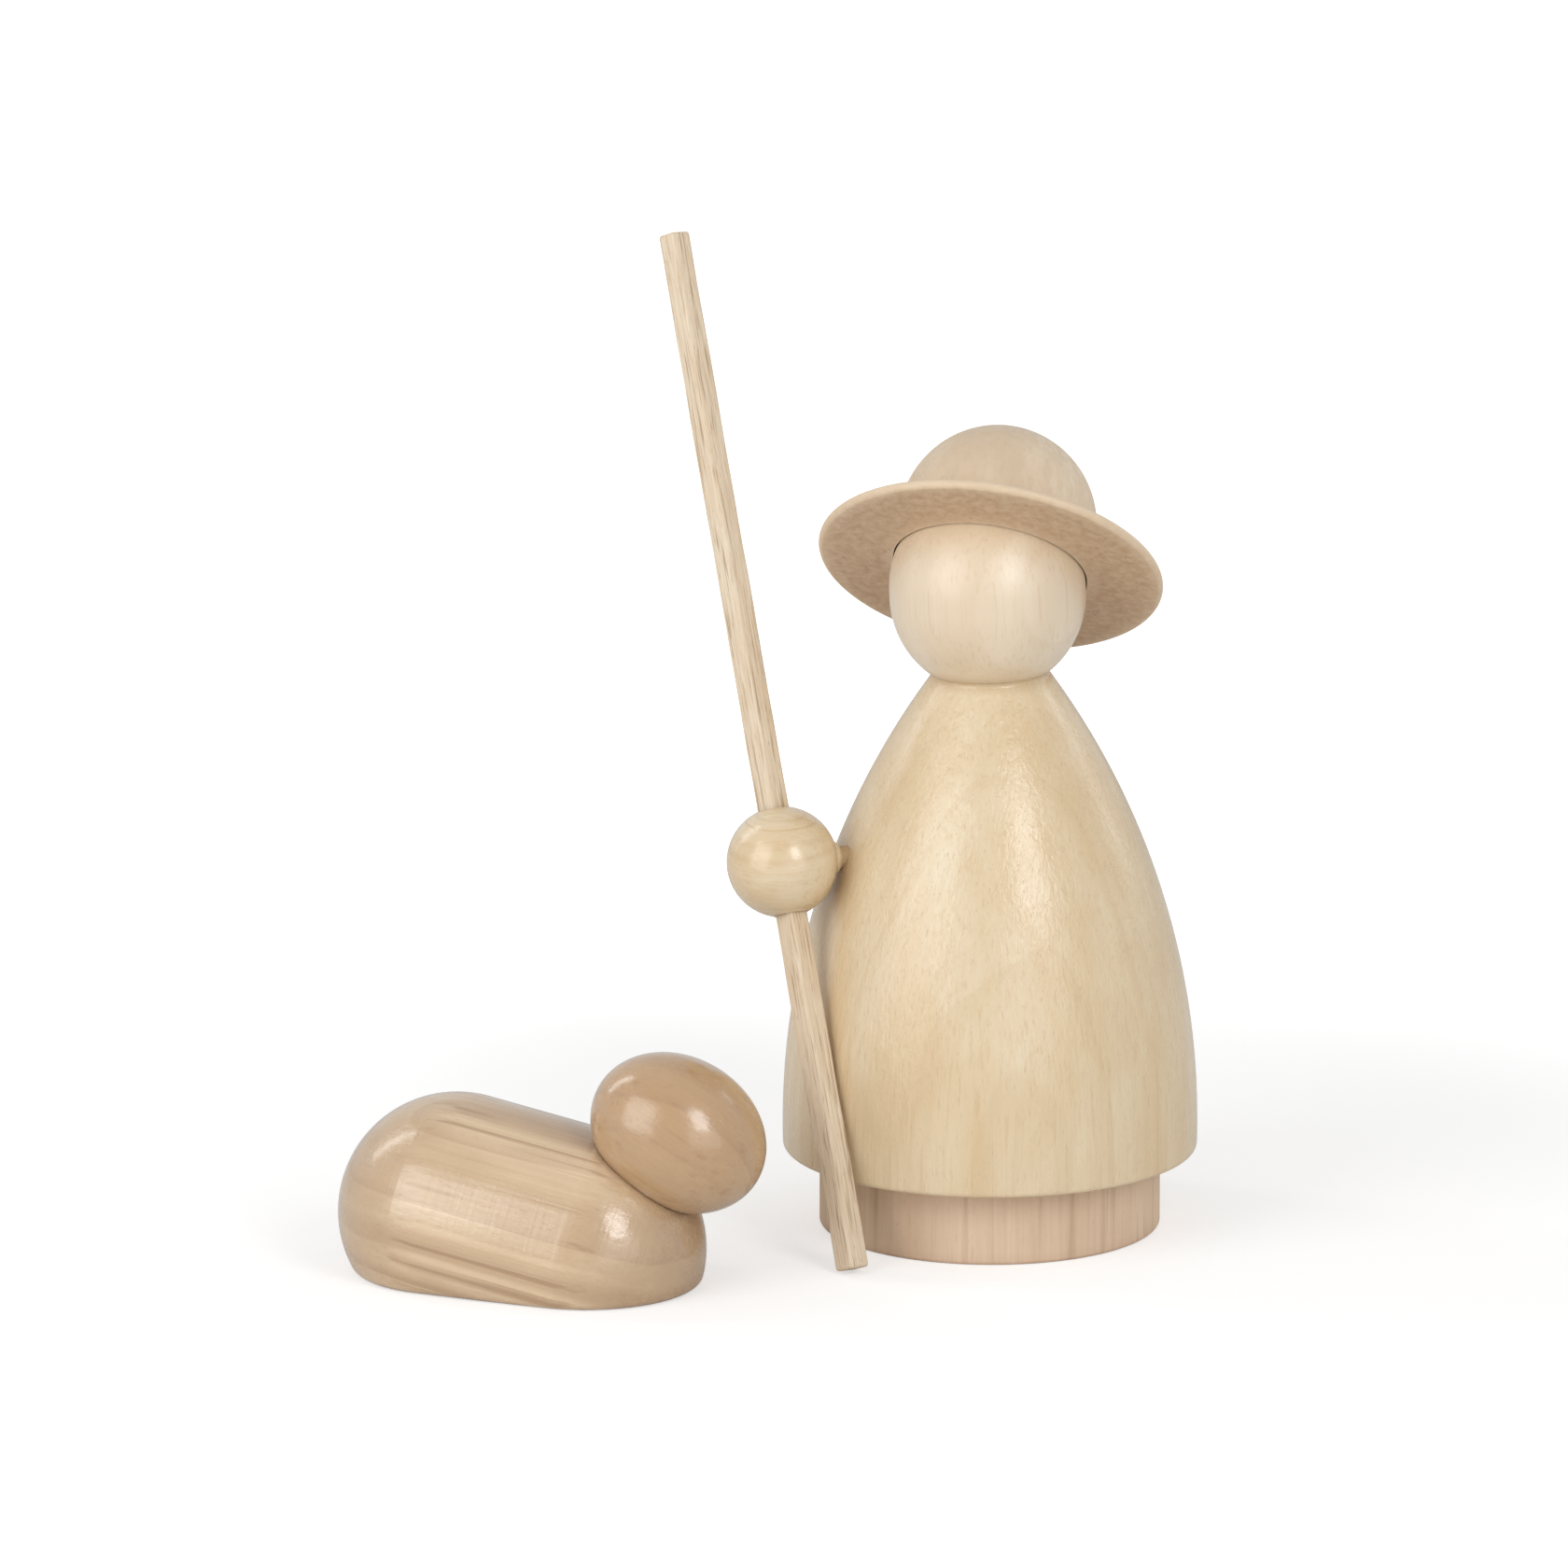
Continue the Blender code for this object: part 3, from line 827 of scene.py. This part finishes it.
def makeHat():
    fit = headShape["radius"] + hatShape["fitRoom"]
    low = hatShape["brimAbove"]
    high = low + hatShape["brimThickness"]
    rim = hatShape["brimThickness"] / 2
    shoulder = low + hatShape["crownShoulder"]
    crown = math.sqrt(fit**2 - shoulder**2) + hatShape["crownWall"]
    crownTop = fit + hatShape["crownTop"]
    fillet = hatShape["rootFillet"]
    brimRadius = crown + hatShape["brimWidth"] - rim
    outline = [(0, low)]
    outline += between((0, low), (brimRadius, low), hatShape["undersideSteps"])
    outline += arcPoints((brimRadius, low + rim), (rim, rim), -90, 90, hatShape["rimSteps"])
    outline += arcPoints((crown + fillet, high + fillet), (fillet, fillet), 270, 180, hatShape["rootSteps"])
    outline += arcPoints((0, shoulder), (crown, crownTop - shoulder), 0, 90, hatShape["crownSteps"])
    piece = addPiece("turnedHat", turn(outline, hatFrame, hatShape["roundSteps"]))
    hollow = headOutline(headShape["radius"] + hatShape["headRoom"])
    carve(piece, turn(hollow, headFrame, hatShape["hollowSteps"]))
    wood = makeWood("tanMapleHat", hatLook, hatFrame)
    return finishPiece(piece, wood, "shepherd", ["hat"], shadeUnderBrim)


def shadeUnderBrim(spot):
    # painted shade on the brim's underside
    return fade((hatFrame.inverted() @ spot).z - hatShape["brimAbove"], hatShape["brimThickness"])


# Hand and staff

handShape = {
    "radius": 0.00496,
    "pinRadius": 0.001,
    "pinRoom": 0.00002,
    "boreRoom": 0.0002,
    "capRadius": 0.0016,  # of the low cap that is glued to the cloak
    "capStart": 0.0045,  # from the ball's centre
    "capReach": 0.00555,
    "grain": (1, -0.12, 0.03),  # nearly level, across the bore
    "ballSteps": 64,
    "roundSteps": 128,
    "capSteps": 24,
    "capRoundSteps": 64,
    "pinSteps": 48,
}
staffShape = {
    "side": 0.0021,
    "footGrowth": 1.12,  # the stick is a little thicker at its foot
    "tipShare": 0.3,  # of that growth, which the tip has too
    "rounding": 0.0003,
    "roundingSteps": 4,
    "length": 0.094,
    "turn": math.radians(45),
    "endRounding": 0.00025,
    "endSteps": 3,
    "cuts": 150,  # along its length, for the hand-worked faces
    "waviness": 0.0001,
    "wavesAcross": 300,  # per metre
    "wavesAlong": 160,
}
handLook = creamWood | {
    "pith": (4, -70, 0),
    "ringWidth": 1.25,
    "ringFade": 0.62,
    "wander": 0.6,
    "ringShare": 0.6,
    "markDepth": 0,
    "ior": 1.66,
    "relief": 0.00003,
    "coat": 0.5,
}
# the pin takes the dark shade tone, matt, as painted shade between the hand and the cloak
pinShadeLook = creamWood | {
    "pale": creamWood["shadeAndEndGrainTone"],
    "warm": (0.42, 0.28, 0.15),
    "roughness": 0.7,
    "ior": 1.3,
    "coat": 0,
}
staffLook = {
    "pale": (0.88, 0.775, 0.625),
    "warm": (0.69, 0.52, 0.335),
    "line": (0.33, 0.195, 0.095),
    "edge": (0.72, 0.58, 0.42),
    "shadeAndEndGrainTone": (0.44, 0.28, 0.16),
    "pith": (9, 13, 0),
    "ringWidth": 0.75,
    "ringFade": 0.5,
    "wander": 0.25,
    "fibreWidth": 0.16,
    "fibreLength": 4,
    "streakWidth": 0.2,
    "streakLength": 6,
    "cloudShare": 0.5,
    "ringShare": 0.25,
    "fibreShare": 0.8,
    "streakShare": 0.85,
    "poreShare": 0.4,
    "edgeShare": 0.2,
    "shadeAndEndGrainShare": 0,
    "roughness": 0.55,
    "unevenness": 0.1,
    "markSpacing": 0.4,
    "markDepth": 0,
    "ior": 1.45,
    "relief": 0.00003,
    "coat": 0,
    "coatRoughness": 0.4,
    "coatIor": 1.5,
}


def placeStaff():
    slide = next(joint for joint in frame["joints"] if joint["name"] == "staff_slide")
    upStick = Vector(slide["axis"]).normalized()
    across = Vector((0, 1, 0)).cross(upStick).normalized()
    facing = Matrix((across, upStick.cross(across), upStick)).transposed().to_4x4()
    return Matrix.Translation(handCentre) @ facing @ Matrix.Rotation(staffShape["turn"], 4, "Z")


staffFrame = placeStaff()


def boreRadius():
    diagonal = staffShape["side"] / math.sqrt(2) - staffShape["rounding"] * (math.sqrt(2) - 1)
    return diagonal + handShape["boreRoom"]


def measurePin():
    # where the pin starts and ends, from the hand's centre
    toPin = handPinFrame.inverted()
    low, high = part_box("hand_dowel")
    heights = [
        (toPin @ Vector((x, y, z))).z
        for x in (low.x, high.x)
        for y in (low.y, high.y)
        for z in (low.z, high.z)
    ]
    middle = (min(heights) + max(heights)) / 2
    across = Vector((high.x - low.x, high.y - low.y)).length
    half = (across - 2 * handShape["pinRadius"]) / 2
    return middle - half, middle + half


pinSpan = measurePin()


def handHole():
    low, high = pinSpan
    return pinOutline(handShape["pinRadius"] + handShape["pinRoom"], low - dowelRoom, high + dowelRoom)


def makeHand():
    radius = handShape["radius"]
    lip = math.degrees(math.acos(boreRadius() / radius))
    outline = arcPoints((0, 0), (radius, radius), -lip, lip, handShape["ballSteps"])
    piece = addPiece("drilledHand", turn([*outline, outline[0]], staffFrame, handShape["roundSteps"]))
    capStart = handShape["capStart"]
    capRadii = (handShape["capRadius"], handShape["capReach"] - capStart)
    cap = arcPoints((0, capStart), capRadii, 0, 90, handShape["capSteps"])
    carve(piece, turn([(0, capStart), *cap], handPinFrame, handShape["capRoundSteps"]), "UNION")
    carve(piece, turn(handHole(), handPinFrame, handShape["pinSteps"]))
    wood = makeWood("creamMapleHand", handLook, axisFrame(handShape["grain"], handCentre))
    return finishPiece(piece, wood, "shepherd", ["hand_bead"])


def makeHandPin():
    # it shows in the small space between the hand and the cloak, coloured dark and matt as painted shade
    outline = pinOutline(handShape["pinRadius"], *pinSpan)
    piece = addPiece("levelHandPin", turn(outline, handPinFrame, handShape["pinSteps"]))
    wood = makeWood("darkPinPaintedShade", pinShadeLook, handPinFrame)
    return finishPiece(piece, wood, "shepherd", ["hand_dowel"])


def soften(bm, edges, offset, segments):
    bmesh.ops.bevel(
        bm, geom=edges, offset=offset, segments=segments, profile=0.5, affect="EDGES", material=-1
    )


def edgeHeight(edge):
    return abs(edge.verts[0].co.z - edge.verts[1].co.z)


def makeStaff():
    place = staffFrame
    side = staffShape["side"]
    lowestCorner = side / 2 * (abs(place.col[0].z) + abs(place.col[1].z))
    foot = (lowestCorner - place.translation.z) / place.col[2].z
    length = staffShape["length"]
    bm = bmesh.new()
    size = Matrix.Diagonal((side, side, length, 1))
    bmesh.ops.create_cube(bm, size=1, matrix=Matrix.Translation((0, 0, foot + length / 2)) @ size)
    longEdges = [edge for edge in bm.edges if edgeHeight(edge) > side]
    soften(bm, longEdges, staffShape["rounding"], staffShape["roundingSteps"])
    endEdges = [edge for edge in bm.edges if edgeHeight(edge) < side]
    soften(bm, endEdges, staffShape["endRounding"], staffShape["endSteps"])
    longEdges = [edge for edge in bm.edges if edgeHeight(edge) > side]
    bmesh.ops.subdivide_edges(bm, edges=longEdges, cuts=staffShape["cuts"], use_grid_fill=True)
    wavesAcross = staffShape["wavesAcross"]
    tipShare = staffShape["tipShare"]
    for vertex in bm.verts:
        # the faces dip in a little where the blade wandered
        x, y, z = vertex.co
        spot = Vector((x * wavesAcross, y * wavesAcross, z * staffShape["wavesAlong"]))
        dip = staffShape["waviness"] * (0.5 + 0.5 * noise.noise(spot))
        vertex.co.x -= math.copysign(min(dip, abs(x)), x)
        vertex.co.y -= math.copysign(min(dip, abs(y)), y)
        down = 1 - (z - foot) / length
        vertex.co.xy *= 1 + (staffShape["footGrowth"] - 1) * (tipShare + (1 - tipShare) * down)
    bmesh.ops.transform(bm, matrix=place, verts=bm.verts)
    piece = addPiece("squareStaff", bm)
    wood = makeWood("splitStick", staffLook, place)
    return finishPiece(piece, wood, "staff", ["staff"])


# Sheep

sheepShape = {
    "heading": math.radians(18),
    "radius": 0.01057,
    "barrel": 0.0124,
    "slope": math.radians(10.9),
    "axisHeight": 0.0042,
    "baseEdge": 0.0006,
    "baseRings": (1, 0.72, 0.48, 0.28, 0.12, 0),  # down the sanded edge, to the saw cut itself
    "domeSteps": 40,
    "roundSteps": 180,
    "endDarkness": 0.75,  # of the end domes, as end grain and painted shade, in the shade mask
}
sheepHeadShape = {
    "radius": 0.0067,
    "length": 0.0163,
    "rise": math.radians(52.7),
    "dip": math.radians(31.4),
    "turn": math.radians(10),
    "seatDepth": 0.0032,
    "seatRoom": 0.00003,
    "dowelRadius": 0.0015,
    "dowelLength": 0.008,
    "eggSteps": 80,
    "roundSteps": 180,
}
sheepLook = {
    "pale": (0.775, 0.59, 0.39),
    "warm": (0.54, 0.365, 0.205),
    "line": (0.33, 0.185, 0.09),
    "edge": (0.42, 0.27, 0.16),
    # painted shade at the neck, and end grain with painted shade on the end domes
    "shadeAndEndGrainTone": (0.30, 0.17, 0.08),
    "pith": (-6, 15, 0),
    "ringWidth": 2.4,
    "ringFade": 0.3,
    "wander": 1.1,
    "fibreWidth": 0.5,
    "fibreLength": 40,
    "streakWidth": 0.9,
    "streakLength": 60,
    "cloudShare": 0.85,
    "ringShare": 0.55,
    "fibreShare": 0.55,
    "streakShare": 0.66,
    "poreShare": 0.04,
    "edgeShare": 0.2,
    "shadeAndEndGrainShare": 0.8,
    "roughness": 0.19,
    "unevenness": 0.14,
    "markSpacing": 0.55,
    "markDepth": 0.9,
    "ior": 1.66,
    "relief": 0.000035,
    "coat": 0.8,
    "coatRoughness": 0.15,
    "coatIor": 1.5,
}
sheepHeadLook = sheepLook | {
    "pale": (0.525, 0.342, 0.185),
    "warm": (0.47, 0.285, 0.14),
    "pith": (10, 16, 0),
    "cloudShare": 0.7,
    "ringShare": 0.3,
    "fibreShare": 0.4,
    "streakShare": 0.4,
    "markDepth": 0.5,
    "ior": 1.6,
    "relief": 0.000028,
    "coat": 1,
    "coatRoughness": 0.17,
}


def placeSheep():
    base = next(mount for mount in frame["record"]["mounts"] if mount["name"] == "sheep_base")
    return Matrix.Translation(base["pos_m"]) @ Matrix.Rotation(-sheepShape["heading"], 4, "Z")


sheepFrame = placeSheep()
# the body's direction in the sheep's frame, and the centre of its front dome
sheepAlong = Vector((math.cos(sheepShape["slope"]), 0, -math.sin(sheepShape["slope"])))
sheepFront = up * sheepShape["axisHeight"] + sheepAlong * sheepShape["barrel"] / 2


def placeSheepHead():
    rise = sheepHeadShape["rise"]
    reach = sheepShape["radius"] + sheepHeadShape["radius"] - sheepHeadShape["seatDepth"]
    dip = sheepHeadShape["dip"]
    aside = sheepHeadShape["turn"]
    eggAxis = Vector((math.cos(aside) * math.cos(dip), math.sin(aside) * math.cos(dip), -math.sin(dip)))
    return sheepFrame @ axisFrame(eggAxis, sheepFront + Vector((math.cos(rise), 0, math.sin(rise))) * reach)


sheepHeadFrame = placeSheepHead()


def eggOutline(grownBy):
    radii = (sheepHeadShape["radius"] + grownBy, sheepHeadShape["length"] / 2 + grownBy)
    return arcPoints((0, 0), radii, -90, 90, sheepHeadShape["eggSteps"])


def sheepPinFrame():
    rise = sheepHeadShape["rise"]
    return sheepFrame @ axisFrame((math.cos(rise), 0, math.sin(rise)), sheepFront)


def sheepPinHole():
    middle = sheepShape["radius"] - sheepHeadShape["seatDepth"]
    half = sheepHeadShape["dowelLength"] / 2 + endRoom
    return pinOutline(sheepHeadShape["dowelRadius"] + dowelRoom, middle - half, middle + half)


def makeSheepBody():
    radius = sheepShape["radius"]
    domeSteps = sheepShape["domeSteps"]
    outline = arcPoints((0, -sheepShape["barrel"]), (radius, radius), -90, 0, domeSteps)
    outline += arcPoints((0, 0), (radius, radius), 0, 90, domeSteps)
    bm = turn(outline, axisFrame(sheepAlong, sheepFront), sheepShape["roundSteps"])
    edge = sheepShape["baseEdge"]
    for share in sheepShape["baseRings"]:
        everything = bm.verts[:] + bm.edges[:] + bm.faces[:]
        bmesh.ops.bisect_plane(
            bm, geom=everything, plane_co=(0, 0, edge * share), plane_no=up, clear_inner=share == 0
        )
    bm.normal_update()
    for vertex in bm.verts:
        if vertex.co.z < edge:
            inset = edge - math.sqrt(max(edge**2 - (edge - vertex.co.z) ** 2, 0))
            vertex.co -= Vector((vertex.normal.x, vertex.normal.y, 0)).normalized() * inset
    rim = [part for part in bm.edges if part.is_boundary]
    bmesh.ops.contextual_create(bm, geom=rim)
    bmesh.ops.recalc_face_normals(bm, faces=bm.faces)
    bmesh.ops.transform(bm, matrix=sheepFrame, verts=bm.verts)
    piece = addPiece("turnedSheepBody", bm)
    carve(piece, turn(eggOutline(sheepHeadShape["seatRoom"]), sheepHeadFrame))
    carve(piece, turn(sheepPinHole(), sheepPinFrame(), turning["holeSteps"]))
    wood = makeWood("tanCherryBody", sheepLook, sheepFrame @ axisFrame(sheepAlong, sheepFront))
    return finishPiece(piece, wood, "sheep", ["sheep_body"], shadeAndEndGrainOnSheepBody)


def shadeAndEndGrainOnSheepBody(spot):
    # painted shade round the egg that is the head, by the distance on the way to its centre, and on both end domes
    # as end grain and painted shade
    along = (sheepFrame.inverted() @ spot - sheepFront).dot(sheepAlong)
    beyond = max(along, -sheepShape["barrel"] - along, 0) / sheepShape["radius"]
    inEgg = sheepHeadFrame.inverted() @ spot
    radius = sheepHeadShape["radius"]
    scaled = Vector((inEgg.x, inEgg.y, inEgg.z * radius * 2 / sheepHeadShape["length"]))
    return max(fade(scaled.length - radius, shadeReach["sheepNeck"]), beyond * sheepShape["endDarkness"])


def makeSheepHead():
    piece = addPiece("turnedSheepHead", turn(eggOutline(0), sheepHeadFrame, sheepHeadShape["roundSteps"]))
    carve(piece, turn(sheepPinHole(), sheepPinFrame(), turning["holeSteps"]))
    wood = makeWood("brownCherryHead", sheepHeadLook, sheepHeadFrame)
    return finishPiece(piece, wood, "sheep", ["sheep_head"], shadeOnSheepHead)


def shadeOnSheepHead(spot):
    # painted shade where the head meets the body
    offset = sheepFrame.inverted() @ spot - sheepFront
    behind = max(-sheepShape["barrel"], min(0, offset.dot(sheepAlong)))
    return fade((offset - sheepAlong * behind).length - sheepShape["radius"], shadeReach["sheepNeck"])


makePlinth()
makeCloak()
makeHead()
makeHat()
makeHand()
makeHandPin()
makeStaff()
makeSheepBody()
makeSheepHead()

# Dowels, which stay as they are inside the joints

dowelLook = creamWood | {"roughness": 0.6, "coat": 0}
dowelWood = makeWood("dowelBirch", dowelLook, Matrix.Identity(4))
for name in ("plinth_dowel", "neck_dowel", "sheep_neck_dowel"):
    dowelMesh = frame["nodes"][name].data
    dowelMesh.materials.clear()
    dowelMesh.materials.append(dowelWood)
print("dowels finished")


# Floor, white surroundings, lamps and camera

floorLook = {
    "size": 3,
    "bounce": 0.8,  # what the table gives back to the figure
    "seen": 0.6,  # what the camera sees of its shading
    "lift": 0.51,  # and of plain white on top
    "farLift": 0.4,  # more of it where the table runs into the backdrop
    "farFrom": 0.055,
    "farTo": 0.16,
}


def makeFloor():
    bm = bmesh.new()
    bmesh.ops.create_grid(bm, x_segments=4, y_segments=4, size=floorLook["size"] / 2)
    floor = addPiece("floor", bm)
    material = bpy.data.materials.new("whiteTable")
    material.use_nodes = True
    tree = material.node_tree
    tree.nodes.remove(tree.nodes["Principled BSDF"])
    bounce = floorLook["bounce"]
    seen = floorLook["seen"]
    matt = addNode(tree, "ShaderNodeBsdfDiffuse", {"Color": (bounce, bounce, bounce, 1)})
    shaded = addNode(tree, "ShaderNodeBsdfDiffuse", {"Color": (seen, seen, seen, 1)})
    coords = addNode(tree, "ShaderNodeTexCoord").outputs["Object"]
    away = ease(tree, calcVector(tree, "LENGTH", coords), floorLook["farFrom"], floorLook["farTo"])
    lift = calc(tree, "MULTIPLY_ADD", away, floorLook["farLift"], floorLook["lift"])
    glow = addNode(tree, "ShaderNodeEmission", {"Color": (1, 1, 1, 1), "Strength": lift})
    bright = addNode(tree, "ShaderNodeAddShader", {0: shaded.outputs[0], 1: glow.outputs[0]})
    isCamera = addNode(tree, "ShaderNodeLightPath").outputs["Is Camera Ray"]
    both = addNode(tree, "ShaderNodeMixShader", {0: isCamera, 1: matt.outputs[0], 2: bright.outputs[0]})
    feed(tree, tree.nodes["Material Output"].inputs["Surface"], both.outputs[0])
    floor.data.materials.append(material)


worldLook = {
    "ambient": 0.45,  # what lights the figure
    "white": 1.0,  # what the camera sees
    "mirrored": 0.7,  # what the lacquer mirrors
}


def makeWorld():
    world = bpy.data.worlds.new("whiteRoom")
    bpy.context.scene.world = world
    world.use_nodes = True
    tree = world.node_tree
    plain = tree.nodes["Background"]
    plain.inputs["Color"].default_value = (1, 1, 1, 1)
    paths = addNode(tree, "ShaderNodeLightPath").outputs
    ambient = worldLook["ambient"]
    strength = calc(tree, "MULTIPLY_ADD", paths["Is Camera Ray"], worldLook["white"] - ambient, ambient)
    mirrored = calc(tree, "MAXIMUM", paths["Is Glossy Ray"], paths["Is Transmission Ray"])
    strength = calc(tree, "MULTIPLY_ADD", mirrored, worldLook["mirrored"] - ambient, strength)
    feed(tree, plain.inputs["Strength"], strength)


lampTarget = Vector((-0.015, -0.005, 0.03))
# Azimuth from the front, positive to the right, and height above the table, in degrees; sizes in metres
softboxes = {
    "leftBox": dict(azimuth=-49, elevation=23, distance=0.55, width=0.38, height=0.44, watts=1.05),
    "leftFill": dict(azimuth=-49, elevation=23, distance=0.55, width=0.38, height=0.44, watts=0.6),
    "farLeftFill": dict(azimuth=-95, elevation=8, distance=0.7, width=0.5, height=0.4, watts=0.14),
    "rightBox": dict(azimuth=31, elevation=32, distance=0.55, width=0.17, height=0.24, watts=0.7),
    "rightFill": dict(azimuth=30, elevation=6, distance=0.7, width=0.5, height=0.4, watts=0.5),
    "farRightFill": dict(azimuth=95, elevation=8, distance=0.7, width=0.5, height=0.4, watts=0.35),
    "backLeftStrip": dict(azimuth=-116, elevation=36, distance=0.5, width=0.06, height=0.3, watts=0.2),
    "backRightStrip": dict(azimuth=116, elevation=24, distance=0.5, width=0.08, height=0.3, watts=0.15),
}
hiddenFills = ["leftFill", "farLeftFill", "farRightFill"]  # these leave no highlight


def makeSoftbox(name, look):
    data = bpy.data.lights.new(name, "AREA")
    data.shape = "RECTANGLE"
    data.size = look["width"]
    data.size_y = look["height"]
    data.energy = look["watts"]
    lamp = bpy.data.objects.new(name, data)
    lamp.visible_glossy = name not in hiddenFills
    azimuth = math.radians(look["azimuth"])
    elevation = math.radians(look["elevation"])
    level = math.cos(elevation)
    towards = Vector((math.sin(azimuth) * level, -math.cos(azimuth) * level, math.sin(elevation)))
    lamp.location = lampTarget + towards * look["distance"]
    lamp.rotation_euler = towards.to_track_quat("Z", "Y").to_euler()
    bpy.context.scene.collection.objects.link(lamp)


cameraLook = {
    "target": (-0.0185, 0, 0.04035),
    "downTilt": math.radians(13.58),
    "distance": 1.16667,
    "lens": 300,
    "sensor": 36,
    "clipStart": 0.05,
}


def makeCamera():
    data = bpy.data.cameras.new("camera")
    data.lens = cameraLook["lens"]
    data.sensor_width = cameraLook["sensor"]
    data.clip_start = cameraLook["clipStart"]
    camera = bpy.data.objects.new("camera", data)
    tilt = cameraLook["downTilt"]
    towards = Vector((0, -math.cos(tilt), math.sin(tilt)))
    camera.location = Vector(cameraLook["target"]) + towards * cameraLook["distance"]
    camera.rotation_euler = (math.pi / 2 - tilt, 0, 0)
    bpy.context.scene.collection.objects.link(camera)
    bpy.context.scene.camera = camera


makeFloor()
makeWorld()
for name, look in softboxes.items():
    makeSoftbox(name, look)
makeCamera()
bpy.context.scene.view_settings.view_transform = "Standard"
print("stage made")
